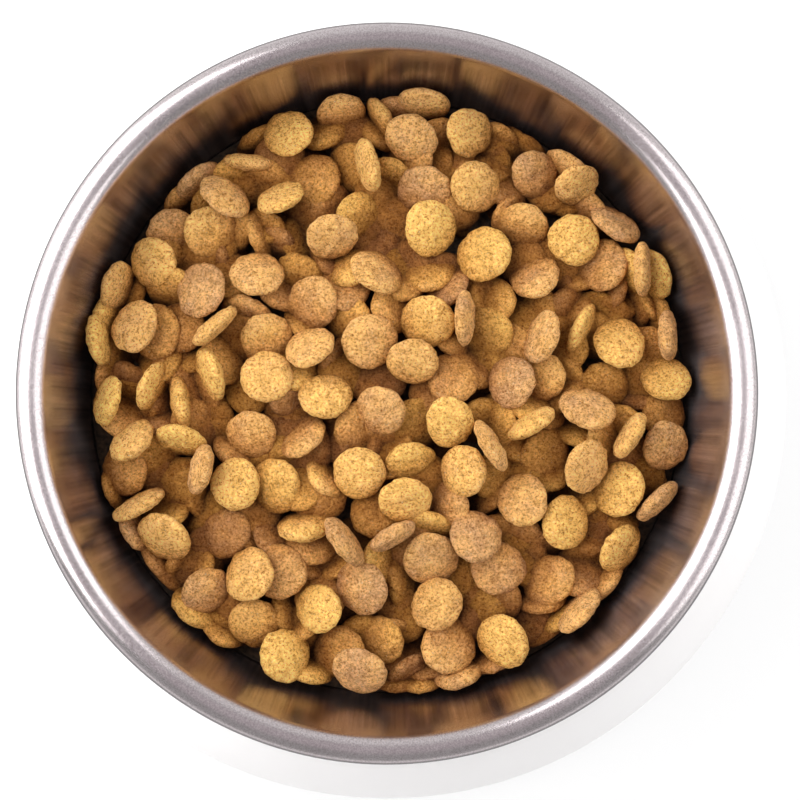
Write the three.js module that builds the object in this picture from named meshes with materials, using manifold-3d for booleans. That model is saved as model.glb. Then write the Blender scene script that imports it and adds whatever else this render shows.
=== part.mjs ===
// Filled pet food bowl: a pressed steel bowl with a rolled rim hangs by that rim on the top edge of
// a flared white outer shell, which stands on a soft grip ring. Dry disc-shaped kibble is heaped in it.
// Millimetres, +Z up, origin on the table under the middle of the bowl.

import * as THREE from 'three';
import { mergeVertices } from 'three/addons/utils/BufferGeometryUtils.js';
import Module from 'manifold-3d';

const wasm = await Module();
wasm.setup();

// Driving dimensions.
const ROUND = 36; // facets round a full turn
const GAP = 0.3; // air left between pieces that touch

const RIM_RADIUS = 90; // outside of the rolled rim
const RIM_TOP = 62; // top of the rolled rim above the table
const SHEET = 0.8; // pressed steel
const BEAD_WIDTH = 7.4; // rolled rim, across
const BEAD_CURL = 45; // degrees that the roll runs on past straight down
const WALL_LEAN = 12.4; // degrees of the bowl wall from upright
const CORNER_RADIUS = 22; // between floor and wall, at the middle of the sheet
const FLOOR_LIFT = 13.6; // middle of the floor sheet above the table

const FOOT_RADIUS = 108.6; // outside of the shell's foot
const FOOT_ROUNDING = 2.2; // outer edge of the foot
const SHELL_WALL = 3;
const SHELL_BULGE = 3.5; // how far the skirt stands out from a straight cone
const SHELL_LEDGE = 86; // middle of the top edge that carries the rim

const RING_WIDTH = 5; // soft ring under the foot
const RING_HEIGHT = 2.6;
const RING_PROUD = 1.1; // how far it stands below the foot
const RING_BEVEL = 0.5;
const RING_INSET = 2; // from the outside of the foot to the groove

const FILL_BELOW = 19; // from the top of the rim down to the food where it meets the steel
const FILL_RISE = 7; // how much higher the food is in the middle
const FILL_RADIUS = 79;
const BED_DROP = 8; // from the heap's surface down to the packed food between the pieces
const POUR_CELL = 0.8; // grid on which the pour is worked out

const KIBBLE_RADIUS = [6.7, 7.5];
const KIBBLE_OVAL = [0.9, 1]; // shorter half-axis as a share of the longer
const KIBBLE_HALF = [2.4, 2.9]; // half thickness
const KIBBLE_SIDES = 7;
const FUSED_SIDES = 6;
const KIBBLE_SHOWS = 14; // square millimetres seen from above that make a piece worth modelling
const FUSE_SINK = 0.4; // how far a piece that is one with the packed food is pressed into it
const LIFT_MOST = 1; // a loose piece that has to be raised further is fused instead
const LOOSE_COUNT = 56;

const LET_DOWN = 2; // a loose piece is tried this much lower first
const SETTLE_STEP = 0.1;
const SETTLE_REACH = 5;
const CORNER_STEPS = 4;
const BEAD_STEPS = 8;
const SKIRT_STEPS = 5;
const FOOT_STEPS = 3;
const BED_STEPS = 4;

const DEG = Math.PI / 180;

// A list of [radius, height] points turned round the vertical axis, merged and closed.
function turned(outline, facets = ROUND) {
  const geometry = new THREE.LatheGeometry(outline.map(([r, z]) => new THREE.Vector2(r, z)), facets);
  geometry.rotateX(Math.PI / 2);
  return closed(geometry);
}

// Shared corners merged, slivers at the axis dropped, faces outward.
function closed(geometry) {
  geometry.deleteAttribute('normal');
  geometry.deleteAttribute('uv');
  const merged = mergeVertices(geometry, 1e-4);
  const place = merged.attributes.position;
  const corners = [];
  const index = merged.index.array;
  let volume = 0;
  const [a, b, c] = [new THREE.Vector3(), new THREE.Vector3(), new THREE.Vector3()];
  for (let i = 0; i < index.length; i += 3) {
    const [p, q, r] = [index[i], index[i + 1], index[i + 2]];
    if (p === q || q === r || r === p) continue;
    corners.push(p, q, r);
    a.fromBufferAttribute(place, p);
    b.fromBufferAttribute(place, q);
    c.fromBufferAttribute(place, r);
    volume += a.dot(b.cross(c));
  }
  if (volume < 0) corners.reverse();
  merged.setIndex(corners);
  return merged;
}

function solidOf(geometry) {
  const vertProperties = Float32Array.from(geometry.attributes.position.array);
  const triVerts = Uint32Array.from(geometry.index.array);
  return new wasm.Manifold(new wasm.Mesh({ numProp: 3, vertProperties, triVerts }));
}

function geometryOf(solid) {
  const { vertProperties, triVerts } = solid.getMesh();
  const geometry = new THREE.BufferGeometry();
  geometry.setAttribute('position', new THREE.BufferAttribute(vertProperties, 3));
  geometry.setIndex(new THREE.BufferAttribute(triVerts, 1));
  return geometry;
}

// Points on an arc about [r, z], from one angle to another in degrees.
function arc([r, z], radius, from, to, steps) {
  return Array.from({ length: steps + 1 }, (_, i) => {
    const turn = (from + (to - from) * i / steps) * DEG;
    return [r + radius * Math.cos(turn), z + radius * Math.sin(turn)];
  });
}

// The middle line of the pressed sheet is a floor, a corner arc, a leaning wall and the rolled bead.
const bead = {
  radius: (BEAD_WIDTH - SHEET) / 2,
  centre: [RIM_RADIUS - BEAD_WIDTH / 2, RIM_TOP - BEAD_WIDTH / 2],
};
const lean = WALL_LEAN * DEG;
const wallTop = [
  bead.centre[0] - bead.radius * Math.cos(lean),
  bead.centre[1] + bead.radius * Math.sin(lean),
];
const cornerTop = FLOOR_LIFT + CORNER_RADIUS * (1 - Math.sin(lean));
const corner = [
  wallTop[0] - (wallTop[1] - cornerTop) * Math.tan(lean) - CORNER_RADIUS * Math.cos(lean),
  FLOOR_LIFT + CORNER_RADIUS,
];

// One face of the sheet: side +1 is the inside of the bowl, -1 the outside.
function sheetFace(side) {
  const away = side * SHEET / 2;
  return [
    [0, FLOOR_LIFT + away],
    ...arc(corner, CORNER_RADIUS - away, -90, -WALL_LEAN, CORNER_STEPS),
    ...arc(bead.centre, bead.radius + away, 180 - WALL_LEAN, -90 - BEAD_CURL, BEAD_STEPS),
  ];
}

function steelBowl() {
  return turned([...sheetFace(-1), ...sheetFace(1).reverse()]);
}

// Radius of the steel's inner face at a height on the leaning wall.
function steelInside(z) {
  return wallTop[0] - (wallTop[1] - z) * Math.tan(lean) - SHEET / 2 / Math.cos(lean);
}

// The skirt runs from a ledge under the rolled rim down to the foot, in one gentle outward curve.
const ledgeZ = bead.centre[1] - bead.radius - SHEET / 2 - GAP;

function shell() {
  const top = [SHELL_LEDGE + SHELL_WALL / 2, ledgeZ];
  const foot = [FOOT_RADIUS, RING_PROUD + FOOT_ROUNDING];
  const skirt = (inset, steps) => {
    const start = new THREE.Vector2(top[0] - inset, top[1]);
    const end = new THREE.Vector2(foot[0] - inset, foot[1]);
    const out = new THREE.Vector2(start.y - end.y, end.x - start.x).normalize();
    const control = start.clone().lerp(end, 1 / 2).addScaledVector(out, 2 * SHELL_BULGE);
    const curve = new THREE.QuadraticBezierCurve(start, control, end);
    return curve.getPoints(steps).map((p) => [p.x, p.y]);
  };
  const footCentre = [FOOT_RADIUS - FOOT_ROUNDING, RING_PROUD + FOOT_ROUNDING];
  const groove = { outer: FOOT_RADIUS - RING_INSET - FOOT_ROUNDING / 2, top: RING_HEIGHT + GAP };
  groove.inner = groove.outer - RING_WIDTH - 2 * GAP;
  const heel = groove.inner - SHELL_WALL / 2;
  const heelTop = groove.top + SHELL_WALL;
  const inside = skirt(SHELL_WALL, SKIRT_STEPS - 1).filter(([, z]) => z > heelTop + SHELL_WALL);
  return turned([
    ...skirt(0, SKIRT_STEPS),
    ...arc(footCentre, FOOT_ROUNDING, 0, -90, FOOT_STEPS).slice(1),
    [groove.outer, RING_PROUD],
    [groove.outer, groove.top],
    [groove.inner, groove.top],
    [groove.inner, RING_PROUD],
    [heel, RING_PROUD],
    [heel, heelTop],
    ...inside.reverse(),
    [top[0], top[1]],
  ]);
}

function gripRing() {
  const outer = FOOT_RADIUS - RING_INSET - FOOT_ROUNDING / 2 - GAP;
  const inner = outer - RING_WIDTH;
  return turned([
    [inner + RING_BEVEL, 0],
    [outer - RING_BEVEL, 0],
    [outer, RING_BEVEL],
    [outer, RING_HEIGHT],
    [inner, RING_HEIGHT],
    [inner, RING_BEVEL],
    [inner + RING_BEVEL, 0],
  ]);
}

// Height of the heap's surface at a squared distance from the middle.
const fillEdge = RIM_TOP - FILL_BELOW;
function heapTop(squared) {
  return fillEdge + FILL_RISE * (1 - squared / (FILL_RADIUS * FILL_RADIUS));
}

// Settings of the pour. Each piece is tried at several deep spots and lies where it comes to rest lowest.
const POUR = {
  cell: POUR_CELL,
  half: Math.ceil((FILL_RADIUS + KIBBLE_RADIUS[1]) / POUR_CELL) + 1,
  depth: 25,
  seed: 7,
  tries: 20,
  looks: 6,
  shares: [0.65, 0.85],
  tilts: [[0.86, 1], [0.5, 0.86], [0.06, 0.5]],
  limits: [-2.6, -1.2, 0.6],
  plug: -3,
  misses: 100,
  plugMisses: 100,
  near: 1.2,
  snug: 3,
  wallAir: 0.6,
  edgeCells: 2,
};

// The same sequence of numbers from 0 to 1 on every run.
class Draw {
  constructor(seed) {
    this.state = seed;
  }

  next() {
    this.state = (Math.imul(this.state, 1664525) + 1013904223) >>> 0;
    return this.state / 4294967296;
  }

  between(low, high) {
    return low + (high - low) * this.next();
  }

  heading() {
    for (;;) {
      const x = this.between(-1, 1);
      const y = this.between(-1, 1);
      const s = x * x + y * y;
      if (s > 0.05 && s < 1) return [x / Math.sqrt(s), y / Math.sqrt(s)];
    }
  }
}

// Each piece counts as an ellipsoid with half-axes a, b, c along u, v, n.
function leaning(nz, [dx, dy], [ex, ey]) {
  const slope = Math.sqrt(1 - nz * nz);
  const n = [slope * dx, slope * dy, nz];
  const dot = ex * n[0] + ey * n[1];
  const rough = [ex - dot * n[0], ey - dot * n[1], -dot * nz];
  const length = Math.sqrt(rough[0] * rough[0] + rough[1] * rough[1] + rough[2] * rough[2]);
  const u = rough.map((value) => value / length);
  const v = [n[1] * u[2] - n[2] * u[1], n[2] * u[0] - n[0] * u[2], n[0] * u[1] - n[1] * u[0]];
  return { u, v, n };
}

// Calls back with each cell under the piece and the lower and upper height of its surface there.
function eachCell(piece, visit) {
  const { x, y, a, b, c, u, v, n } = piece;
  const { cell, half } = POUR;
  const wide = 2 * half + 1;
  const [aa, bb, cc] = [1 / (a * a), 1 / (b * b), 1 / (c * c)];
  const m = (i, j) => u[i] * u[j] * aa + v[i] * v[j] * bb + n[i] * n[j] * cc;
  const [m00, m01, m02, m11, m12, m22] = [m(0, 0), m(0, 1), m(0, 2), m(1, 1), m(1, 2), m(2, 2)];
  const j0 = Math.floor((x - a) / cell) + half;
  const j1 = Math.ceil((x + a) / cell) + half;
  const i0 = Math.floor((y - a) / cell) + half;
  const i1 = Math.ceil((y + a) / cell) + half;
  for (let i = i0; i <= i1; i += 1) {
    const py = (i - half) * cell - y;
    for (let j = j0; j <= j1; j += 1) {
      const px = (j - half) * cell - x;
      const halfB = m02 * px + m12 * py;
      const spread = halfB * halfB - m22 * (m00 * px * px + 2 * m01 * px * py + m11 * py * py - 1);
      if (spread > 0) {
        const root = Math.sqrt(spread);
        visit(i * wide + j, (-halfB - root) / m22, (-halfB + root) / m22);
      }
    }
  }
}

// Pours kibble into the bowl and returns every piece with its place, axes and what it rests on.
function pour() {
  const { cell, half, tries, looks, limits, shares, tilts, misses, plugMisses } = POUR;
  const wide = 2 * half + 1;
  const height = new Float64Array(wide * wide);
  const owner = new Int32Array(wide * wide).fill(-1);
  const slope = Math.tan(lean);
  const wallFoot = steelInside(0) - POUR.wallAir;
  for (let i = 0; i < wide; i += 1) {
    for (let j = 0; j < wide; j += 1) {
      const [x, y] = [(j - half) * cell, (i - half) * cell];
      const squared = x * x + y * y;
      const wall = (Math.sqrt(squared) - wallFoot) / slope;
      height[i * wide + j] = Math.max(heapTop(squared) - POUR.depth, wall > RIM_TOP ? 1000 : wall);
    }
  }
  const draw = new Draw(POUR.seed);
  const pieces = [];
  let missed = 0;
  while (missed < misses + plugMisses) {
    const a = draw.between(...KIBBLE_RADIUS);
    const b = a * draw.between(...KIBBLE_OVAL);
    const c = draw.between(...KIBBLE_HALF);
    const share = draw.next();
    const plugging = missed >= misses;
    let best = null;
    for (let attempt = 0; attempt < tries; attempt += 1) {
      const picked = plugging ? draw.next() : share;
      const kind = picked < shares[0] ? 0 : picked < shares[1] ? 1 : 2;
      const nz = draw.between(...tilts[kind]);
      const [x, y] = deepSpot();
      const piece = { a, b, c, kind, x, y, ...leaning(nz, draw.heading(), draw.heading()) };
      let cells = 0;
      piece.z = -1e9;
      eachCell(piece, (at, low) => {
        cells += 1;
        if (height[at] - low > piece.z) {
          piece.z = height[at] - low;
          piece.on = owner[at];
        }
      });
      let near = 0;
      eachCell(piece, (at, low) => {
        if (height[at] - low > piece.z - POUR.near) near += 1;
      });
      piece.score = piece.z - heapTop(piece.x * piece.x + piece.y * piece.y);
      piece.cells = cells;
      const fit = piece.score + POUR.snug * (1 - near / cells);
      if (!best || fit < best.fit) best = { ...piece, fit };
    }
    if (best.score > (plugging ? POUR.plug : limits[best.kind])) {
      missed += 1;
      continue;
    }
    eachCell(best, (at, low, high) => {
      if (best.z + high > height[at]) {
        height[at] = best.z + high;
        owner[at] = pieces.length;
      }
    });
    pieces.push(best);
  }
  for (const piece of pieces) piece.seen = 0;
  for (const id of owner) if (id >= 0) pieces[id].seen += 1;
  return pieces;

  function deepSpot() {
    let spot = [0, 0];
    let deep = 1e9;
    for (let look = 0; look < looks; look += 1) {
      let [x, y, s] = [0, 0, Infinity];
      while (!(s < FILL_RADIUS * FILL_RADIUS)) {
        x = draw.between(-FILL_RADIUS, FILL_RADIUS);
        y = draw.between(-FILL_RADIUS, FILL_RADIUS);
        s = x * x + y * y;
      }
      const at = (Math.floor(y / cell) + half) * wide + Math.floor(x / cell) + half;
      const here = height[at] - heapTop(s);
      if (here < deep) [deep, spot] = [here, [x, y]];
    }
    return spot;
  }
}

// Outlines of one piece of kibble of half-axes 1, a disc with a rounded rim. A fused piece has a level
// crown. One that lies flat in the packed food shows nothing of its underside, so that is plain.
const CROWN = { reach: 0.68, rise: 0.74, middle: 0.9, level: 0.82 };
const LOOSE_LENS = [
  [0, CROWN.middle],
  [CROWN.reach, CROWN.rise],
  [1, 0],
  [CROWN.reach, -CROWN.rise],
  [0, -CROWN.middle],
];
const FUSED_LENS = [
  [0, CROWN.level],
  [CROWN.reach, CROWN.level],
  [1, 0],
  [CROWN.reach, -CROWN.level],
  [0, -CROWN.level],
];
const FLAT_LENS = [
  [0, CROWN.level],
  [CROWN.reach, CROWN.level],
  [1, 0],
  [0, -CROWN.level],
];

function axesOf({ u, v, n }) {
  return new THREE.Matrix4().makeBasis(...[u, v, n].map((axis) => new THREE.Vector3(...axis)));
}

function kibbleShape(piece) {
  return turned(LOOSE_LENS, KIBBLE_SIDES).scale(piece.a, piece.b, piece.c);
}

function looseSolid(piece, lift) {
  return solidOf(kibbleShape(piece).applyMatrix4(axesOf(piece)).translate(piece.x, piece.y, piece.z + lift));
}

function fusedSolid(piece, lift) {
  const lens = turned(piece.kind === 0 ? FLAT_LENS : FUSED_LENS, FUSED_SIDES);
  const shape = lens.scale(piece.a, piece.b, piece.c);
  return solidOf(shape.applyMatrix4(axesOf(piece)).translate(piece.x, piece.y, piece.z + lift));
}

// The inside of the steel bowl drawn in by the air gap, as an outline up to a height.
function lining(topZ) {
  const away = SHEET / 2 + GAP;
  return [
    [0, FLOOR_LIFT + away],
    ...arc(corner, CORNER_RADIUS - away, -90, -WALL_LEAN, CORNER_STEPS),
    [steelInside(topZ) - GAP / Math.cos(lean), topZ],
  ];
}

// The packed food under the heap, with its top a little below the heap's own surface.
function packedFood() {
  const edge = lining(fillEdge - BED_DROP);
  const reach = edge.at(-1)[0];
  const top = Array.from({ length: BED_STEPS }, (_, i) => {
    const r = reach * (1 - (i + 1) / BED_STEPS);
    return [r, heapTop(r * r) - BED_DROP];
  });
  return solidOf(turned([...edge, ...top]));
}

// A piece that is one with the packed food is let down until it has sunk into what it lies on.
function fuse(food, piece) {
  let sunk = FUSE_SINK;
  while (food.minGap(fusedSolid(piece, FUSE_SINK - sunk), SETTLE_REACH) > 0) sunk += SETTLE_STEP;
  return food.add(fusedSolid(piece, -sunk));
}

// A loose piece is raised until it lies clear of all that is around it.
function liftToClear(piece, around) {
  let lift = -LET_DOWN;
  while (around.some((other) => looseSolid(piece, lift).minGap(other, SETTLE_REACH) < GAP)) lift += SETTLE_STEP;
  return lift;
}

// Sorts the poured pieces into those that lie loose on top and the food that they lie on.
function settleHeap(steel) {
  const pieces = pour();
  const isShown = (piece) => piece.seen * POUR.cell * POUR.cell > KIBBLE_SHOWS;
  const isFree = (piece) => piece.seen >= piece.cells - POUR.edgeCells;
  const inBed = (piece) => piece.z - piece.c < heapTop(piece.x * piece.x + piece.y * piece.y) - BED_DROP;
  const fused = new Set();
  for (const shown of pieces.filter((piece) => isShown(piece) && !isFree(piece))) {
    for (let piece = shown; piece && !fused.has(piece); piece = inBed(piece) ? null : pieces[piece.on]) {
      fused.add(piece);
    }
  }
  let food = packedFood();
  for (const piece of pieces) if (fused.has(piece)) food = fuse(food, piece);

  const free = pieces.filter((piece) => isFree(piece) && !fused.has(piece));
  const lifts = new Map(free.map((piece) => [piece, liftToClear(piece, [food, steel])]));
  const easy = free.filter((piece) => lifts.get(piece) <= LIFT_MOST);
  const loose = new Set(easy.sort((p, q) => q.score - p.score).slice(0, LOOSE_COUNT));
  for (const piece of free) if (!loose.has(piece)) food = fuse(food, piece);
  food = food.intersect(solidOf(turned([...lining(RIM_TOP), [0, RIM_TOP]])));

  const around = [food, steel];
  const settled = [];
  for (const piece of loose) {
    const lift = liftToClear(piece, around);
    around.push(looseSolid(piece, lift));
    settled.push({ ...piece, z: piece.z + lift });
  }
  return { food, settled };
}

const group = new THREE.Group();

function add(name, geometry, colour, roughness, metalness) {
  const mesh = new THREE.Mesh(geometry, new THREE.MeshStandardMaterial({ color: colour, roughness, metalness }));
  mesh.name = name;
  group.add(mesh);
  return mesh;
}

const bowl = steelBowl();
const { food, settled } = settleHeap(solidOf(bowl));
add('steel_bowl', bowl, 0xc9c6c4, 0.25, 1);
add('outer_shell', shell(), 0xf4f1ee, 0.4, 0);
add('grip_ring', gripRing(), 0x4a4a4c, 0.9, 0);
add('kibble_bed', geometryOf(food), 0x8a6236, 0.95, 0);
settled.forEach((piece, i) => {
  const mesh = add(`kibble_${String(i + 1).padStart(2, '0')}`, kibbleShape(piece), 0xa5763f, 0.95, 0);
  mesh.setRotationFromMatrix(axesOf(piece));
  mesh.position.set(piece.x, piece.y, piece.z);
});

export default group;
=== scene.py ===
"""Filled pet food bowl: a polished steel bowl in a white flared shell, heaped with dry kibble."""

import math

import bmesh
import bpy
import numpy as np
from mathutils import Matrix, Vector


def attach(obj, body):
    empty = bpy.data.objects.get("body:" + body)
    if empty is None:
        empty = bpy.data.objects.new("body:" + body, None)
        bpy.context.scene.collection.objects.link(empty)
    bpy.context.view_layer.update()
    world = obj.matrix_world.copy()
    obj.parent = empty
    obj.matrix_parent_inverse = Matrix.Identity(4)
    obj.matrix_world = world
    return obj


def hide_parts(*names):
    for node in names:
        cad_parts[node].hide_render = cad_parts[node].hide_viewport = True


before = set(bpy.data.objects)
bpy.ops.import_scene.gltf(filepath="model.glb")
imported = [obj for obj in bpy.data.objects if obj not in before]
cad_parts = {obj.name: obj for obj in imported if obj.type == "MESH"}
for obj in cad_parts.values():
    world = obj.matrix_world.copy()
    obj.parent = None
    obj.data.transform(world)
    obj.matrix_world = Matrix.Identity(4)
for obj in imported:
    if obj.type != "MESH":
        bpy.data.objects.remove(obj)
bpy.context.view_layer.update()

MM = 0.001

# Sizes of the bowl in millimetres, the same as the frame's.
RIM_RADIUS = 90
RIM_TOP = 62
SHEET = 0.8
BEAD_WIDTH = 7.4
BEAD_CURL = 45
WALL_LEAN = 12.4
CORNER_RADIUS = 22
FLOOR_LIFT = 13.6

FOOT_RADIUS = 108.6
FOOT_ROUNDING = 2.2
SHELL_WALL = 3
SHELL_BULGE = 3.5
SHELL_LEDGE = 86
SHELL_LIP = 0.8
GAP = 0.3

RING_WIDTH = 5
RING_HEIGHT = 2.6
RING_PROUD = 1.1
RING_BEVEL = 0.5
RING_INSET = 2

# Heights where the painted reflection streaks on the steel are full and where they end, and how far inside
# the rim its dark line of painted shade starts and is full.
STREAKS_FULL = 54
STREAKS_END = 58
EDGE_SHADE_LINE = (1, 0.4)

# Sizes of the heap in millimetres.
FILL_EDGE = RIM_TOP - 19
FILL_RISE = 7
FILL_RADIUS = 79
BED_DROP = 13
KIBBLE_RADIUS = (6.7, 7.5)
KIBBLE_OVAL = (0.9, 1)
KIBBLE_HALF = (2.4, 2.9)

# Steps round the spun bodies and along their curves.
SPIN_STEPS = 192
FINES_STEPS = 96
CORNER_STEPS = 14
ROLL_STEPS = 36
SKIRT_STEPS = 24
LINING_STEPS = 16
FOOT_STEPS = 8
BED_STEPS = 8
BED_RINGS = 12
FLOOR_RINGS = 5


def arc(centre, radius, start, end, steps):
    """Points on an arc in the radius and height plane, angles in degrees."""
    turns = [math.radians(start + (end - start) * i / steps) for i in range(steps + 1)]
    return [(centre[0] + radius * math.cos(t), centre[1] + radius * math.sin(t)) for t in turns]


BEAD_RADIUS = (BEAD_WIDTH - SHEET) / 2
BEAD_CENTRE = (RIM_RADIUS - BEAD_WIDTH / 2, RIM_TOP - BEAD_WIDTH / 2)
LEAN = math.radians(WALL_LEAN)
WALL_TOP = (BEAD_CENTRE[0] - BEAD_RADIUS * math.cos(LEAN), BEAD_CENTRE[1] + BEAD_RADIUS * math.sin(LEAN))
CORNER_TOP = FLOOR_LIFT + CORNER_RADIUS * (1 - math.sin(LEAN))
CORNER = (
    WALL_TOP[0] - (WALL_TOP[1] - CORNER_TOP) * math.tan(LEAN) - CORNER_RADIUS * math.cos(LEAN),
    FLOOR_LIFT + CORNER_RADIUS,
)
FLOOR_RING = CORNER[0] / FLOOR_RINGS


def steel_inside(z):
    """Radius of the steel's inner face at a height on the leaning wall."""
    return WALL_TOP[0] - (WALL_TOP[1] - z) * math.tan(LEAN) - SHEET / 2 / math.cos(LEAN)


def shader(name):
    """A new material with its principled shader, ready for nodes."""
    material = bpy.data.materials.new(name)
    material.use_nodes = True
    tree = material.node_tree
    surface = next(node for node in tree.nodes if node.type == "BSDF_PRINCIPLED")
    return material, tree, surface


def put(tree, kind, **settings):
    """Adds a node. A setting is an attribute, or the value or link of an input.

    The name of an input has _ for a space, and _0, _1 and so on stand for its number.
    """
    node = tree.nodes.new(kind)
    for key, value in settings.items():
        if hasattr(node, key):
            setattr(node, key, value)
            continue
        socket = node.inputs[int(key[1:])] if key[1:].isdigit() else node.inputs[key.replace("_", " ")]
        if isinstance(value, bpy.types.NodeSocket):
            tree.links.new(value, socket)
        else:
            socket.default_value = value
    return node


def ramp(tree, value, stops):
    """A colour ramp over a value, from a list of places and colours."""
    node = put(tree, "ShaderNodeValToRGB", Fac=value)
    elements = node.color_ramp.elements
    while len(elements) < len(stops):
        elements.new(0.5)
    for element, (place, colour) in zip(elements, stops):
        element.position = place
        element.color = (*colour, 1)
    return node.outputs["Color"]


def mix(tree, fac, a, b, blend="MIX"):
    """Mixes two colours."""
    node = put(tree, "ShaderNodeMix", data_type="RGBA", blend_type=blend)
    for socket, value in ((node.inputs[0], fac), (node.inputs[6], a), (node.inputs[7], b)):
        if isinstance(value, bpy.types.NodeSocket):
            tree.links.new(value, socket)
        else:
            socket.default_value = value
    return node.outputs[2]


def noise(tree, where, scale, detail=2, roughness=0.5):
    """Cloudy noise from 0 to 1, with its scale in cells a metre."""
    node = put(tree, "ShaderNodeTexNoise", Vector=where, Scale=scale, Detail=detail, Roughness=roughness)
    return node.outputs["Fac"]


def span(tree, value, low, high, to_low=0, to_high=1):
    """Carries a value from one span of numbers over to another."""
    ends = {"From_Min": low, "From_Max": high, "To_Min": to_low, "To_Max": to_high}
    return put(tree, "ShaderNodeMapRange", Value=value, **ends).outputs["Result"]


def work(tree, operation, *values):
    """One step of arithmetic on values."""
    settings = {f"_{i}": value for i, value in enumerate(values)}
    return put(tree, "ShaderNodeMath", operation=operation, **settings).outputs[0]


def places(tree):
    """Where a point lies on the piece, in metres."""
    return put(tree, "ShaderNodeTexCoord").outputs["Object"]


def attribute(tree, name):
    """A value that the mesh carries on its vertices."""
    return put(tree, "ShaderNodeAttribute", attribute_name=name).outputs["Fac"]


def emboss(tree, surface, height, strength, distance):
    """Fine relief on a surface, with its depth in metres."""
    bump = put(tree, "ShaderNodeBump", Strength=strength, Distance=distance, Height=height)
    tree.links.new(bump.outputs["Normal"], surface.inputs["Normal"])


def kibble_finish():
    """Dry extruded crumb: golden ochre to pinkish brown, pitted, with cream and dark specks. Its colour
    carries painted shade in the pits and painted shade that deepens the lower it lies in the heap.
    """
    material, tree, surface = shader("kibble crumb")
    where = places(tree)
    patch = noise(tree, where, 190, 3, 0.6)
    grain = noise(tree, where, 1500, 4, 0.8)
    mottle = noise(tree, where, 460, 2, 0.6)
    flecks = noise(tree, where, 2600, 1)
    pores = put(tree, "ShaderNodeTexVoronoi", Vector=where, Scale=700, Randomness=1).outputs["Distance"]
    blend = work(tree, "MULTIPLY_ADD", patch, 0.9, attribute(tree, "tone"))
    base = ramp(tree, work(tree, "MULTIPLY", blend, 0.6), [
        (0.15, (0.95, 0.595, 0.155)),
        (0.45, (0.92, 0.54, 0.15)),
        (0.7, (0.83, 0.465, 0.155)),
        (0.9, (0.62, 0.34, 0.145)),
    ])
    sandy = ramp(tree, grain, [
        (0.36, (0.52, 0.34, 0.18)),
        (0.47, (1.05, 1.03, 1)),
        (0.62, (1.5, 1.55, 1.65)),
    ])
    patches = ramp(tree, mottle, [(0.32, (0.82, 0.76, 0.7)), (0.6, (1.12, 1.12, 1.15))])
    coloured = mix(tree, 1, mix(tree, 1, base, patches, "MULTIPLY"), sandy, "MULTIPLY")
    cream = work(tree, "MULTIPLY", ramp(tree, flecks, [(0.66, (0, 0, 0)), (0.74, (1, 1, 1))]), 0.6)
    speckled = mix(tree, cream, coloured, (0.9, 0.78, 0.52, 1))
    # Painted shade in the pores: the colour darkens at the middle of each pit, where the relief sinks in.
    pits = ramp(tree, pores, [(0.04, (0.4, 0.24, 0.12)), (0.16, (1, 1, 1))])
    pitted = mix(tree, 0.6, speckled, pits, "MULTIPLY")
    # Painted shade: the colour darkens the deeper a point lies below the heap's surface, standing in for
    # the shade between and under the pieces.
    painted_depth_shade = ramp(tree, attribute(tree, "deep"), [
        (0.2, (1, 1, 1)),
        (0.45, (0.76, 0.65, 0.56)),
        (0.65, (0.36, 0.25, 0.17)),
        (0.88, (0.07, 0.042, 0.028)),
    ])
    tree.links.new(mix(tree, 1, pitted, painted_depth_shade, "MULTIPLY"), surface.inputs["Base Color"])
    relief = work(tree, "MULTIPLY_ADD", grain, 1, work(tree, "MINIMUM", pores, 0.3))
    emboss(tree, surface, relief, 1, 0.0014)
    surface.inputs["Roughness"].default_value = 0.82
    surface.inputs["Specular IOR Level"].default_value = 0.12
    return material


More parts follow.
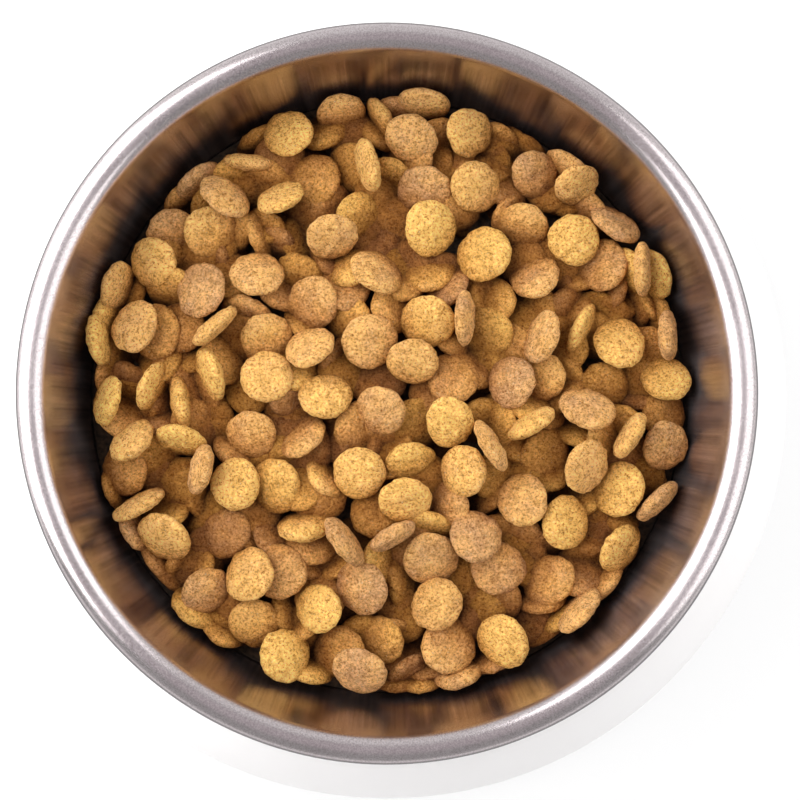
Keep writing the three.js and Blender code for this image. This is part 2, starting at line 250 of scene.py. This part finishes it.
def steel_finish():
    """Polished steel. Its fine polishing lines run round the bowl and pull reflections out across them."""
    material, tree, surface = shader("polished steel")
    where = places(tree)
    surface.inputs["Metallic"].default_value = 1
    surface.inputs["Anisotropic"].default_value = 0.9
    surface.inputs["Anisotropic Rotation"].default_value = 0.25
    tangent = put(tree, "ShaderNodeTangent", direction_type="RADIAL", axis="Z")
    tree.links.new(tangent.outputs["Tangent"], surface.inputs["Tangent"])
    cloud = noise(tree, where, 45, 3, 0.6)
    tree.links.new(span(tree, cloud, 0.3, 0.7, 0.19, 0.26), surface.inputs["Roughness"])
    tint = ramp(tree, cloud, [(0.3, (0.55, 0.495, 0.50)), (0.7, (0.61, 0.555, 0.56))])

    # Painted reflection streaks up the wall, below the roll: dark and light bands in the steel's colour.
    apart = put(tree, "ShaderNodeSeparateXYZ", Vector=where)
    level = put(tree, "ShaderNodeCombineXYZ", X=apart.outputs["X"], Y=apart.outputs["Y"]).outputs[0]
    away = put(tree, "ShaderNodeVectorMath", operation="LENGTH", _0=level).outputs["Value"]
    bearing = put(tree, "ShaderNodeVectorMath", operation="NORMALIZE", _0=level).outputs["Vector"]
    streak = noise(tree, bearing, 26, 6, 0.7)
    streaks = ramp(tree, streak, [(0.38, (0.55, 0.52, 0.52)), (0.6, (1.05, 1.0, 0.98))])
    below = span(tree, apart.outputs["Z"], STREAKS_FULL * MM, STREAKS_END * MM, 1, 0)
    painted_wall_streaks = mix(tree, below, (1, 1, 1, 1), streaks)

    # Glitter of the brushing, and a dark line of painted shade at the outermost edge of the roll.
    glitter = noise(tree, where, 2400, 2, 0.8)
    sparkle = ramp(tree, glitter, [
        (0.36, (0.82, 0.8, 0.81)),
        (0.52, (1, 1, 1)),
        (0.66, (1.12, 1.12, 1.12)),
    ])
    edge = span(tree, away, (RIM_RADIUS - EDGE_SHADE_LINE[0]) * MM, (RIM_RADIUS - EDGE_SHADE_LINE[1]) * MM)
    painted_edge_shade = mix(tree, edge, (1, 1, 1, 1), (0.12, 0.11, 0.115, 1))
    finish = mix(tree, 1, mix(tree, 1, painted_wall_streaks, sparkle, "MULTIPLY"), painted_edge_shade, "MULTIPLY")
    tree.links.new(mix(tree, 1, tint, finish, "MULTIPLY"), surface.inputs["Base Color"])

    lines = put(tree, "ShaderNodeCombineXYZ", X=away, Y=apart.outputs["Z"]).outputs[0]
    scratches = work(tree, "ADD", noise(tree, lines, 5000), noise(tree, where, 2600, 1))
    emboss(tree, surface, scratches, 0.12, 0.00006)
    return material


def shell_finish():
    """White hard plastic with a soft gloss."""
    material, tree, surface = shader("white shell")
    where = places(tree)
    cloud = noise(tree, where, 18)
    tint = ramp(tree, cloud, [(0.3, (0.88, 0.86, 0.855)), (0.7, (0.91, 0.895, 0.89))])
    tree.links.new(tint, surface.inputs["Base Color"])
    tree.links.new(span(tree, cloud, 0, 1, 0.28, 0.4), surface.inputs["Roughness"])
    emboss(tree, surface, noise(tree, where, 420, 1), 0.08, 0.0002)
    return material


def ring_finish():
    """Soft dark grey rubber."""
    material, tree, surface = shader("soft ring")
    grain = noise(tree, places(tree), 1400)
    tint = ramp(tree, grain, [(0.3, (0.16, 0.16, 0.165)), (0.7, (0.22, 0.22, 0.225))])
    tree.links.new(tint, surface.inputs["Base Color"])
    surface.inputs["Roughness"].default_value = 0.8
    emboss(tree, surface, grain, 0.3, 0.0001)
    return material


def fines_in_painted_shade():
    """Crumb between the pieces, seen only through the gaps, coloured near black as painted shade."""
    material, tree, surface = shader("crumb in painted shade")
    grain = noise(tree, places(tree), 700, 4)
    # Painted shade: near-black browns stand in for the shade down in the gaps.
    tint = ramp(tree, grain, [(0.35, (0.015, 0.008, 0.004)), (0.7, (0.07, 0.038, 0.018))])
    tree.links.new(tint, surface.inputs["Base Color"])
    surface.inputs["Roughness"].default_value = 0.95
    emboss(tree, surface, grain, 0.9, 0.001)
    return material


def keep(bm, name, material, slot, *nodes):
    """Turns a bmesh into a smooth piece of the object that stands for the given nodes."""
    bmesh.ops.recalc_face_normals(bm, faces=bm.faces)
    mesh = bpy.data.meshes.new(name)
    bm.to_mesh(mesh)
    bm.free()
    mesh.polygons.foreach_set("use_smooth", [True] * len(mesh.polygons))
    mesh.materials.append(material)
    piece = bpy.data.objects.new(name, mesh)
    bpy.context.scene.collection.objects.link(piece)
    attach(piece, "root")
    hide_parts(*nodes)
    return piece


def spun(outline, steps=SPIN_STEPS, loop=False):
    """An outline of radius and height in millimetres, spun into a closed body round the upright axis."""
    bm = bmesh.new()
    verts = [bm.verts.new((r * MM, 0, z * MM)) for r, z in outline]
    pairs = zip(verts, verts[1:] + verts[:1]) if loop else zip(verts, verts[1:])
    edges = [bm.edges.new(pair) for pair in pairs]
    bmesh.ops.spin(bm, geom=verts + edges, cent=(0, 0, 0), axis=(0, 0, 1), angle=2 * math.pi,
                   steps=steps, use_merge=True)
    bmesh.ops.remove_doubles(bm, verts=bm.verts, dist=0.00001)
    return bm


def sheet_face(side):
    """One face of the sheet, from the axis to the end of the roll. Side is 1 inside and -1 outside."""
    away = side * SHEET / 2
    floor = [(FLOOR_RING * i, FLOOR_LIFT + away) for i in range(FLOOR_RINGS)]
    return [
        *floor,
        *arc(CORNER, CORNER_RADIUS - away, -90, -WALL_LEAN, CORNER_STEPS),
        *arc(BEAD_CENTRE, BEAD_RADIUS + away, 180 - WALL_LEAN, -90 - BEAD_CURL, ROLL_STEPS),
    ]


def make_steel_bowl(material):
    """The pressed steel bowl with its rolled rim."""
    bm = spun([*sheet_face(-1), *reversed(sheet_face(1))])
    return keep(bm, "steel_bowl_skin", material, "steel", "steel_bowl")


def skirt(inset, steps):
    """The shell's outward curve from the ledge under the rim to the foot."""
    ledge = BEAD_CENTRE[1] - BEAD_RADIUS - SHEET / 2 - GAP
    top = Vector((SHELL_LEDGE + SHELL_WALL / 2 - inset, ledge))
    foot = Vector((FOOT_RADIUS - inset, RING_PROUD + FOOT_ROUNDING))
    run = (foot - top).length
    control = (top + foot) / 2 + 2 * SHELL_BULGE * Vector((top.y - foot.y, foot.x - top.x)) / run
    shares = [i / steps for i in range(steps + 1)]
    return [tuple((1 - t) ** 2 * top + 2 * t * (1 - t) * control + t * t * foot) for t in shares]


def make_shell(material):
    """The flared shell with the groove for the soft ring under its foot."""
    foot = (FOOT_RADIUS - FOOT_ROUNDING, RING_PROUD + FOOT_ROUNDING)
    groove_out = FOOT_RADIUS - RING_INSET - FOOT_ROUNDING / 2
    groove_top = RING_HEIGHT + GAP
    groove_in = groove_out - RING_WIDTH - 2 * GAP
    heel = groove_in - SHELL_WALL / 2
    heel_top = groove_top + SHELL_WALL
    inside = [point for point in skirt(SHELL_WALL, LINING_STEPS) if point[1] > heel_top + SHELL_WALL]
    outline = [
        *skirt(0, SKIRT_STEPS)[:-1],
        *arc(foot, FOOT_ROUNDING, 0, -90, FOOT_STEPS),
        (groove_out, RING_PROUD),
        (groove_out, groove_top),
        (groove_in, groove_top),
        (groove_in, RING_PROUD),
        (heel, RING_PROUD),
        (heel, heel_top),
        *reversed(inside),
    ]
    bm = spun(outline, loop=True)
    piece = keep(bm, "outer_shell_skin", material, "shell", "outer_shell")
    soften(piece, SHELL_LIP / 2)
    return piece


def soften(piece, width):
    """Rounds the sharp edges and keeps the flat faces flat."""
    bevel = piece.modifiers.new("soft edges", "BEVEL")
    bevel.width = width * MM
    bevel.segments = 3
    bevel.limit_method = "ANGLE"
    bevel.angle_limit = math.radians(40)
    bevel.harden_normals = True


def make_ring(material):
    """The soft ring in the groove."""
    outer = FOOT_RADIUS - RING_INSET - FOOT_ROUNDING / 2 - GAP
    inner = outer - RING_WIDTH
    bm = spun([(inner, 0), (outer, 0), (outer, RING_HEIGHT), (inner, RING_HEIGHT)], loop=True)
    piece = keep(bm, "grip_ring_skin", material, "ring", "grip_ring")
    soften(piece, RING_BEVEL)
    return piece


def heap_top(squared):
    """Height of the heap's surface at a squared distance from the middle."""
    return FILL_EDGE + FILL_RISE * (1 - squared / (FILL_RADIUS * FILL_RADIUS))


# Settings of the pour. Each piece is tried at several deep spots and lies where it comes to rest lowest.
# Shares, tilts and limits go from lying flat over leaning to standing on edge.
CELL = 0.8
HALF = 110
POUR_DEPTH = 25
POUR_SEED = 7
TRIES = 20
LOOKS = 6
SHARES = (0.65, 0.85)
TILTS = ((0.86, 1), (0.5, 0.86), (0.06, 0.5))
LIMITS = (-2.6, -1.2, 0.6)
PLUG = -3
MISSES = 100
PLUG_MISSES = 100
NEAR = 1.2
SNUG = 3
WALL_AIR = 0.6

# Lower and higher than anything in the bowl.
NOWHERE = -1e9
ABOVE_ALL = 1e9

# The numbers of the draw, and the two that give each lump its own.
DRAW_TIMES = 1664525
DRAW_PLUS = 1013904223
DRAW_SPAN = 4294967296
LUMP_TIMES = 7919
LUMP_PLUS = 17


class Draw:
    """The same sequence of numbers from 0 to 1 on every run."""

    def __init__(self, seed):
        self.state = seed

    def next(self):
        self.state = (self.state * DRAW_TIMES + DRAW_PLUS) % DRAW_SPAN
        return self.state / DRAW_SPAN

    def between(self, low, high):
        return low + (high - low) * self.next()

    def heading(self):
        while True:
            x = self.between(-1, 1)
            y = self.between(-1, 1)
            s = x * x + y * y
            if 0.05 < s < 1:
                return x / math.sqrt(s), y / math.sqrt(s)


def leaning(nz, d, e):
    """Three axes of a piece whose crown leans towards d, turned about itself by e."""
    slope = math.sqrt(1 - nz * nz)
    n = (slope * d[0], slope * d[1], nz)
    dot = e[0] * n[0] + e[1] * n[1]
    rough = (e[0] - dot * n[0], e[1] - dot * n[1], -dot * nz)
    length = math.sqrt(rough[0] * rough[0] + rough[1] * rough[1] + rough[2] * rough[2])
    u = tuple(value / length for value in rough)
    v = (n[1] * u[2] - n[2] * u[1], n[2] * u[0] - n[0] * u[2], n[0] * u[1] - n[1] * u[0])
    return u, v, n


def footprint(x, y, halves, axes, grid):
    """The cells under a piece, with the lower and upper height of its surface in each."""
    a, b, c = halves
    u, v, n = axes
    aa, bb, cc = 1 / (a * a), 1 / (b * b), 1 / (c * c)

    def m(i, j):
        return u[i] * u[j] * aa + v[i] * v[j] * bb + n[i] * n[j] * cc

    m00, m01, m02, m11, m12, m22 = m(0, 0), m(0, 1), m(0, 2), m(1, 1), m(1, 2), m(2, 2)
    rows = slice(math.floor((y - a) / CELL) + HALF, math.ceil((y + a) / CELL) + HALF + 1)
    columns = slice(math.floor((x - a) / CELL) + HALF, math.ceil((x + a) / CELL) + HALF + 1)
    px = grid[None, columns] - x
    py = grid[rows, None] - y
    half_b = m02 * px + m12 * py
    spread = half_b * half_b - m22 * (m00 * px * px + 2 * m01 * px * py + m11 * py * py - 1)
    inside = spread > 0
    root = np.sqrt(np.where(inside, spread, 0))
    return (rows, columns), inside, (-half_b - root) / m22, (-half_b + root) / m22


def kibble_halves(draw):
    """Half the length, width and thickness of one piece."""
    a = draw.between(*KIBBLE_RADIUS)
    return a, a * draw.between(*KIBBLE_OVAL), draw.between(*KIBBLE_HALF)


def deep_spot(draw, height, reach, looks):
    """The place where the heap lies deepest under its full surface, out of a few looks within a radius."""
    spot, deep = None, ABOVE_ALL
    for _ in range(looks):
        while True:
            x = draw.between(-reach, reach)
            y = draw.between(-reach, reach)
            s = x * x + y * y
            if s < reach * reach:
                break
        here = height[math.floor(y / CELL) + HALF, math.floor(x / CELL) + HALF] - heap_top(s)
        if here < deep:
            deep, spot = here, (x, y)
    return spot


def pour():
    """Pours kibble into the bowl and returns every piece, with the heights of the finished heap."""
    grid = (np.arange(2 * HALF + 1) - HALF) * CELL
    squared = grid[None, :] * grid[None, :] + grid[:, None] * grid[:, None]
    wall = (np.sqrt(squared) - (steel_inside(0) - WALL_AIR)) / math.tan(LEAN)
    height = np.maximum(heap_top(squared) - POUR_DEPTH, np.where(wall > RIM_TOP, 1000, wall))
    owner = np.full(height.shape, -1)
    draw = Draw(POUR_SEED)
    pieces = []
    missed = 0
    while missed < MISSES + PLUG_MISSES:
        halves = kibble_halves(draw)
        share = draw.next()
        plugging = missed >= MISSES
        best = None
        for _ in range(TRIES):
            picked = draw.next() if plugging else share
            kind = 0 if picked < SHARES[0] else 1 if picked < SHARES[1] else 2
            nz = draw.between(*TILTS[kind])
            x, y = deep_spot(draw, height, FILL_RADIUS, LOOKS)
            axes = leaning(nz, draw.heading(), draw.heading())
            cells, inside, low, high = footprint(x, y, halves, axes, grid)
            need = np.where(inside, height[cells] - low, NOWHERE)
            z = need.max()
            score = z - heap_top(x * x + y * y)
            fit = score + SNUG * (1 - int((need > z - NEAR).sum()) / int(inside.sum()))
            if best is None or fit < best["fit"]:
                best = {"fit": fit, "score": score, "kind": kind, "place": (x, y, z), "halves": halves,
                        "axes": axes, "cells": cells, "inside": inside, "high": high}
        if best["score"] > (PLUG if plugging else LIMITS[best["kind"]]):
            missed += 1
            continue
        top = np.where(best["inside"], best["place"][2] + best["high"], NOWHERE)
        raised = top > height[best["cells"]]
        height[best["cells"]][raised] = top[raised]
        owner[best["cells"]][raised] = len(pieces)
        pieces.append(best)
    seen = np.bincount(owner[owner >= 0], minlength=len(pieces))
    for piece, count in zip(pieces, seen):
        piece["seen"] = int(count)
    return pieces, grid, wall, height


# Settings of the pieces tucked in from below. Beyond TUCK_WALL they lean on the steel. A gap is deeper
# than TUCK_BELOW. A piece lies TUCK_DROP or WALL_DROP down, or deeper if the pieces over it need it, and
# it counts if it shows in TUCK_SHOWS cells of the gap.
UNDER_SEED = 1000
UNDER_TILT = (0.55, 1)
WALL_TILT = (0.25, 0.7)
TUCK_TRIES = 600
TUCK_LOOKS = 4
TUCK_REACH = 77
TUCK_WALL = 68
TUCK_BELOW = 7
TUCK_DROP = 7.5
WALL_DROP = 5
TUCK_SLACK = 4
TUCK_SHOWS = 18

# The heap and the tucked pieces are split into a few pieces each, to keep every mesh small.
HEAP_SHARES = 4
TUCK_SHARES = 2

# The form of one kibble: how crowned and uneven it is, how its crust is worn, and the depth in millimetres
# that scales the painted shade deeper in the heap.
PAINTED_SHADE_DEPTH = 10
PUFF = 1.04
CROWN_POWER = 2.6
CROWN_SHARE = 0.88
LENS_TURNS = 12
LENS_RINGS = 6
OUTLINE_WOBBLE = 0.07
FACE_WOBBLE = 0.10
FLAT_WEAR = 0.05
CRUST_SIZE = 1.9
CRUST_HEIGHT = 0.8
LOOSE_LEVELS = 2
UNDER_LEVELS = 1

# How far off, in millimetres, a loose kibble's solid may lie from its piece of the pour.
MATCH = 0.05


def kibble_lump(bm, layers, piece, place, number):
    """Adds one rounded, slightly lopsided disc of kibble to a bmesh."""
    draw = Draw(number * LUMP_TIMES + LUMP_PLUS)
    a, b, c = piece["halves"]
    u, v, n = piece["axes"]
    made = bmesh.ops.create_uvsphere(bm, u_segments=LENS_TURNS, v_segments=LENS_RINGS, radius=1)["verts"]
    swell = [draw.between(-1, 1) for _ in range(6)]
    flat_side = draw.between(0, 2 * math.pi)
    sides = [[u[i] * a * PUFF, v[i] * b * PUFF, n[i] * c * CROWN_SHARE, place[i]] for i in range(3)]
    pose = Matrix([*sides, [0, 0, 0, 1]])
    tone = draw.next()
    for vert in made:
        away = math.hypot(vert.co.x, vert.co.y)
        vert.co /= (away ** CROWN_POWER + abs(vert.co.z) ** CROWN_POWER) ** (1 / CROWN_POWER)
        turn = math.atan2(vert.co.y, vert.co.x)
        lobe = swell[0] * math.sin(2 * turn + swell[1] * 3) + swell[2] * math.sin(3 * turn + swell[3] * 3)
        lobe += 0.7 * swell[4] * math.sin(5 * turn + swell[5] * 3)
        out = 1 + OUTLINE_WOBBLE * 0.6 * lobe - FLAT_WEAR * max(0, math.cos(turn - flat_side)) ** 4
        up = 1 + FACE_WOBBLE * draw.between(-1, 1)
        vert.co = Vector((vert.co.x * out, vert.co.y * out, vert.co.z * up))
    bmesh.ops.transform(bm, matrix=Matrix.Scale(MM, 4) @ pose, verts=made)
    for vert in made:
        x, y, z = vert.co / MM
        vert[layers["tone"]] = tone
        # Depth in the heap, which darkens the colour as painted shade.
        vert[layers["deep"]] = (heap_top(x * x + y * y) - z) / PAINTED_SHADE_DEPTH


def crumb_mesh():
    """A new bmesh with a tone for each lump and how deep each point lies in the heap, which darkens the
    colour as painted shade.
    """
    bm = bmesh.new()
    return bm, {name: bm.verts.layers.float.new(name) for name in ("tone", "deep")}


def roughen(piece, levels):
    """Finishes lumps with a smooth subdivision and a worn, uneven surface."""
    smooth = piece.modifiers.new("smooth", "SUBSURF")
    smooth.levels = levels
    smooth.render_levels = levels
    lumps = bpy.data.textures.new("crumb lumps", "CLOUDS")
    lumps.noise_scale = CRUST_SIZE * MM
    lumps.noise_depth = 1
    uneven = piece.modifiers.new("uneven", "DISPLACE")
    uneven.texture = lumps
    uneven.texture_coords = "LOCAL"
    uneven.strength = CRUST_HEIGHT * MM
    uneven.mid_level = 0.5


def middle_of(node):
    """The middle of a loose kibble's solid, in millimetres, from its separate corners."""
    mesh = node.data
    corners = {tuple(round(value / MM, 3) for value in vert.co) for vert in mesh.vertices}
    return tuple(sum(corner[i] for corner in corners) / len(corners) for i in range(3))


def make_share(material, name, nodes, levels, lumps):
    """One piece of the scene from numbered lumps, each with its place."""
    bm, layers = crumb_mesh()
    for number, piece, place in lumps:
        kibble_lump(bm, layers, piece, place, number)
    roughen(keep(bm, name, material, "kibble", nodes), levels)


def make_kibble(material):
    """The loose pieces where their solids lie, the locked ones as a heap, and those tucked in below."""
    pieces, grid, wall, height = pour()
    taken = set()
    loose = [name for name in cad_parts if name.startswith("kibble_") and name != "kibble_bed"]
    for name in sorted(loose):
        middle = middle_of(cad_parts[name])
        number = min(range(len(pieces)), key=lambda i: math.dist(pieces[i]["place"], middle))
        assert math.dist(pieces[number]["place"][:2], middle[:2]) < MATCH, name
        taken.add(number)
        make_share(material, name + "_crumb", name, LOOSE_LEVELS, [(number, pieces[number], middle)])
    lumps = [(number, piece, piece["place"]) for number, piece in enumerate(pieces)]
    shown = [lump for lump in lumps if lump[0] not in taken and lump[1]["seen"]]
    for share in range(HEAP_SHARES):
        name = f"kibble_heap_{share + 1}"
        make_share(material, name, "kibble_bed", LOOSE_LEVELS, shown[share::HEAP_SHARES])
    below = tuck_in(grid, wall, height)
    tucked = [(number, piece, piece["place"]) for number, piece in enumerate(below, UNDER_SEED)]
    for share in range(TUCK_SHARES):
        name = f"kibble_under_layer_{share + 1}"
        make_share(material, name, "kibble_bed", UNDER_LEVELS, tucked[share::TUCK_SHARES])


def tuck_in(grid, wall, height):
    """Pieces that fill the gaps from below. Each is tucked under the rims of the pieces around its gap."""
    draw = Draw(UNDER_SEED)
    squared = grid[None, :] * grid[None, :] + grid[:, None] * grid[:, None]
    tucked = []
    for _ in range(TUCK_TRIES):
        x, y = deep_spot(draw, height, TUCK_REACH, TUCK_LOOKS)
        away = math.hypot(x, y)
        by_wall = away > TUCK_WALL
        heading = (-x / away, -y / away) if by_wall else draw.heading()
        halves = kibble_halves(draw)
        axes = leaning(draw.between(*(WALL_TILT if by_wall else UNDER_TILT)), heading, draw.heading())
        cells, inside, low, high = footprint(x, y, halves, axes, grid)
        here = height[cells]
        bank = wall[cells]
        covered = inside & (here - heap_top(squared[cells]) > -TUCK_BELOW) & (here > bank + 0.01)
        z = heap_top(x * x + y * y) - (WALL_DROP if by_wall else TUCK_DROP)
        if covered.any():
            z = min(z, float(np.percentile((here - high)[covered], TUCK_SLACK)))
        shows = inside & ~covered & (z + high > here)
        if shows.sum() < TUCK_SHOWS or (inside & (bank > z + low)).any():
            continue
        here[shows] = (z + high)[shows]
        tucked.append({"halves": halves, "axes": axes, "place": (x, y, z)})
    return tucked


def make_fines(material):
    """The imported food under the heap, closed against the inside of the steel."""
    away = SHEET / 2 + GAP
    edge_z = FILL_EDGE - BED_DROP
    edge = (steel_inside(edge_z) - GAP / math.cos(LEAN), edge_z)
    radii = [edge[0] * (1 - i / BED_RINGS) for i in range(1, BED_RINGS + 1)]
    top = [(radius, heap_top(radius ** 2) - BED_DROP) for radius in radii]
    outline = [
        (0, FLOOR_LIFT + away),
        *arc(CORNER, CORNER_RADIUS - away, -90, -WALL_LEAN, BED_STEPS),
        edge,
        *top,
    ]
    return keep(spun(outline, steps=FINES_STEPS), "packed_fines", material, "kibble", "kibble_bed")


FLOOR_RADIUS = 3
FLOOR_GLOW = 0.8


def make_floor():
    """A plain white floor that still takes a soft shadow."""
    bm = bmesh.new()
    bmesh.ops.create_circle(bm, cap_ends=True, segments=64, radius=FLOOR_RADIUS)
    mesh = bpy.data.meshes.new("floor")
    bm.to_mesh(mesh)
    bm.free()
    floor = bpy.data.objects.new("floor", mesh)
    bpy.context.scene.collection.objects.link(floor)
    material, tree, surface = shader("floor white")
    surface.inputs["Base Color"].default_value = (0.9, 0.9, 0.9, 1)
    surface.inputs["Roughness"].default_value = 1
    glow = put(tree, "ShaderNodeEmission", Strength=1)
    path = put(tree, "ShaderNodeLightPath")
    seen = work(tree, "MAXIMUM", path.outputs["Is Camera Ray"], path.outputs["Is Glossy Ray"])
    share = work(tree, "MULTIPLY", seen, FLOOR_GLOW)
    both = put(tree, "ShaderNodeMixShader", _0=share, _1=surface.outputs[0], _2=glow.outputs[0])
    tree.links.new(both.outputs[0], next(n for n in tree.nodes if n.type == "OUTPUT_MATERIAL").inputs[0])
    mesh.materials.append(material)


# Lamps in metres and watts: name, place, size and power.
LAMPS = (
    ("left box", (-0.53, 0.15, 0.50), (0.95, 0.8), 9.8),
    ("right box", (0.6, 0.05, 0.50), (0.95, 0.7), 4.2),
)
LAMP_AIM = (0, 0, 0.05)

# Greys of the room from the bottom of the picture to its top, and its colour overhead.
ROOM_GREYS = ((0.15, 0.43), (0.45, 0.22), (0.62, 0.27), (0.85, 0.9))
ROOM_TOP = (0.6, 0.56, 0.58, 1)


def softbox(name, place, size, power):
    """A rectangular lamp that looks at the bowl."""
    lamp = bpy.data.lights.new(name, "AREA")
    lamp.shape = "RECTANGLE"
    lamp.size, lamp.size_y = size
    lamp.energy = power
    holder = bpy.data.objects.new(name, lamp)
    bpy.context.scene.collection.objects.link(holder)
    holder.location = place
    holder.rotation_euler = (Vector(LAMP_AIM) - Vector(place)).to_track_quat("-Z", "Y").to_euler()


def make_light():
    """A wide soft lamp on each side, and a pale room that is brighter towards the top of the picture."""
    for lamp in LAMPS:
        softbox(*lamp)
    world = bpy.data.worlds.new("studio")
    bpy.context.scene.world = world
    world.use_nodes = True
    tree = world.node_tree
    sky = next(node for node in tree.nodes if node.type == "BACKGROUND")
    outward = put(tree, "ShaderNodeTexCoord").outputs["Generated"]
    way = put(tree, "ShaderNodeSeparateXYZ", Vector=outward)
    stops = [(place, (grey, grey, grey)) for place, grey in ROOM_GREYS]
    sides = ramp(tree, span(tree, way.outputs["Y"], -1, 1), stops)
    overhead = span(tree, way.outputs["Z"], 0.8, 0.95)
    tree.links.new(mix(tree, overhead, sides, ROOM_TOP), sky.inputs["Color"])
    sky.inputs["Strength"].default_value = 1


CAMERA_PLACE = Vector((0.0014, -0.0147, 0.4887))
CAMERA_AIM = Vector((0.0031, -0.0021, 0.0587))
CAMERA_LENS = 79.9


def make_camera():
    """Straight above the bowl, a little towards its lower edge in the picture."""
    camera = bpy.data.cameras.new("camera")
    camera.lens = CAMERA_LENS
    holder = bpy.data.objects.new("camera", camera)
    bpy.context.scene.collection.objects.link(holder)
    back = (CAMERA_PLACE - CAMERA_AIM).normalized()
    right = Vector((0, 1, 0)).cross(back).normalized()
    up = back.cross(right)
    turn = Matrix((right, up, back)).transposed().to_4x4()
    holder.matrix_world = Matrix.Translation(CAMERA_PLACE) @ turn
    bpy.context.scene.camera = holder


steel = steel_finish()
make_steel_bowl(steel)
make_shell(shell_finish())
make_ring(ring_finish())
crumb = kibble_finish()
make_kibble(crumb)
make_fines(fines_in_painted_shade())
make_floor()
make_light()
make_camera()
bpy.context.scene.view_settings.view_transform = "Standard"
